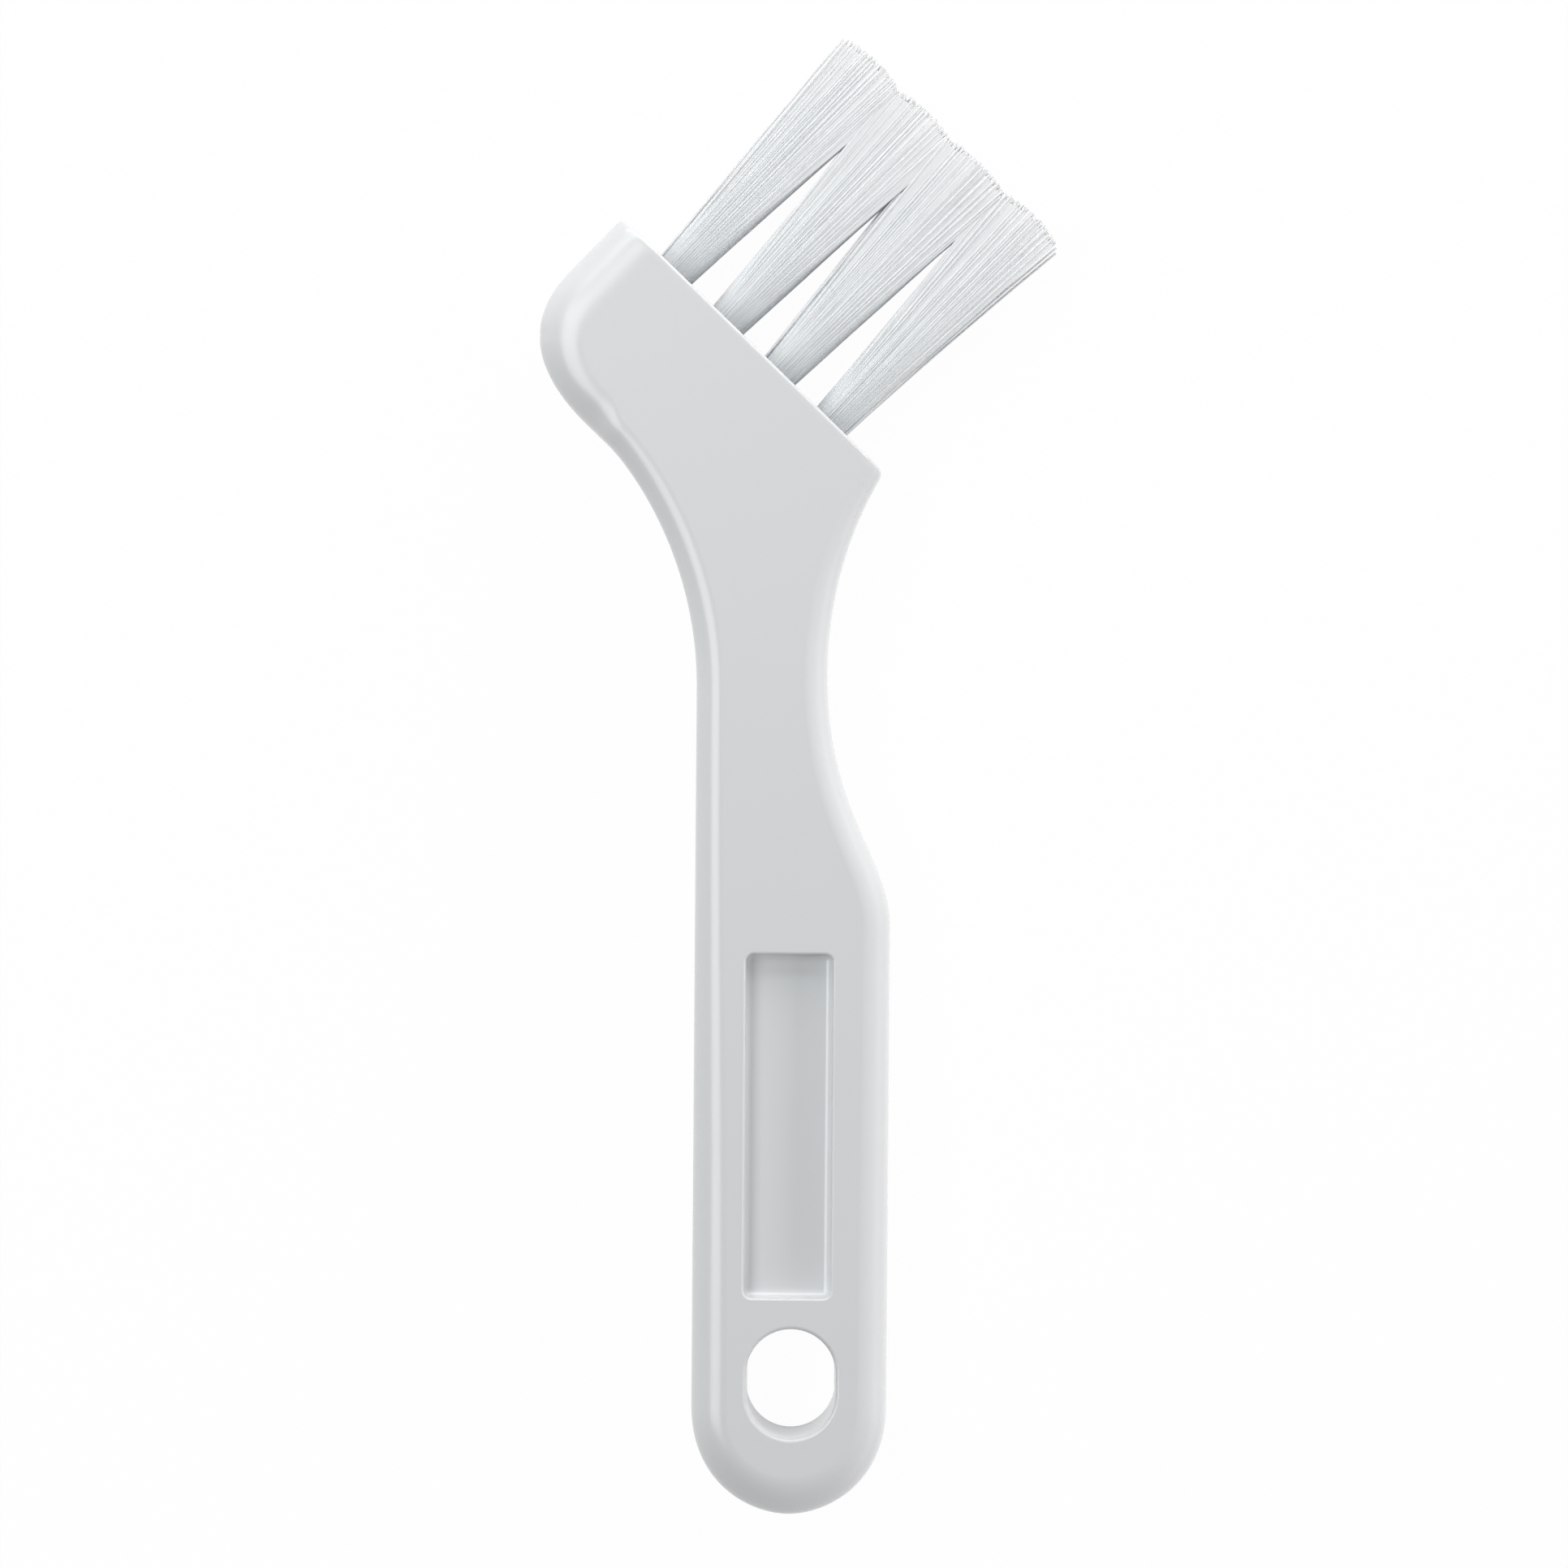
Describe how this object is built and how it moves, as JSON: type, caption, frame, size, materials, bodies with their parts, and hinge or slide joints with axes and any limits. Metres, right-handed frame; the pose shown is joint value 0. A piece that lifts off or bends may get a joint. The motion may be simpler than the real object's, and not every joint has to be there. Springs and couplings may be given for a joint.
{
  "type": "shaver cleaning brush",
  "caption": "Small hand brush for cleaning a shaver: a flat moulded handle with a hanging hole, a sunk panel and a slanted head that carries a row of nylon bristle tufts.",
  "frame": {"origin": "on the flat back of the handle, in the middle of the whole brush's length and width; it is also the grip's centre line", "axes": "+Y along the grip from the tail to the head, +X to the side the bristles lean to, +Z out of the front face that has the sunk panel"},
  "size_m": [0.0289, 0.0824, 0.0045],
  "materials": {
    "handle_plastic": "satin moulded, very fine grain",
    "clear_nylon": "translucent drawn filament",
    "anchor_metal": "rolled flat wire, sheared ends"
  },
  "bodies": {
    "root": {"handle": "handle_plastic", "bristle_tuft_1": "clear_nylon", "bristle_tuft_2": "clear_nylon", "bristle_tuft_3": "clear_nylon", "bristle_tuft_4": "clear_nylon", "tuft_anchor_1": "anchor_metal", "tuft_anchor_2": "anchor_metal", "tuft_anchor_3": "anchor_metal", "tuft_anchor_4": "anchor_metal"}
  },
  "joints": []
}
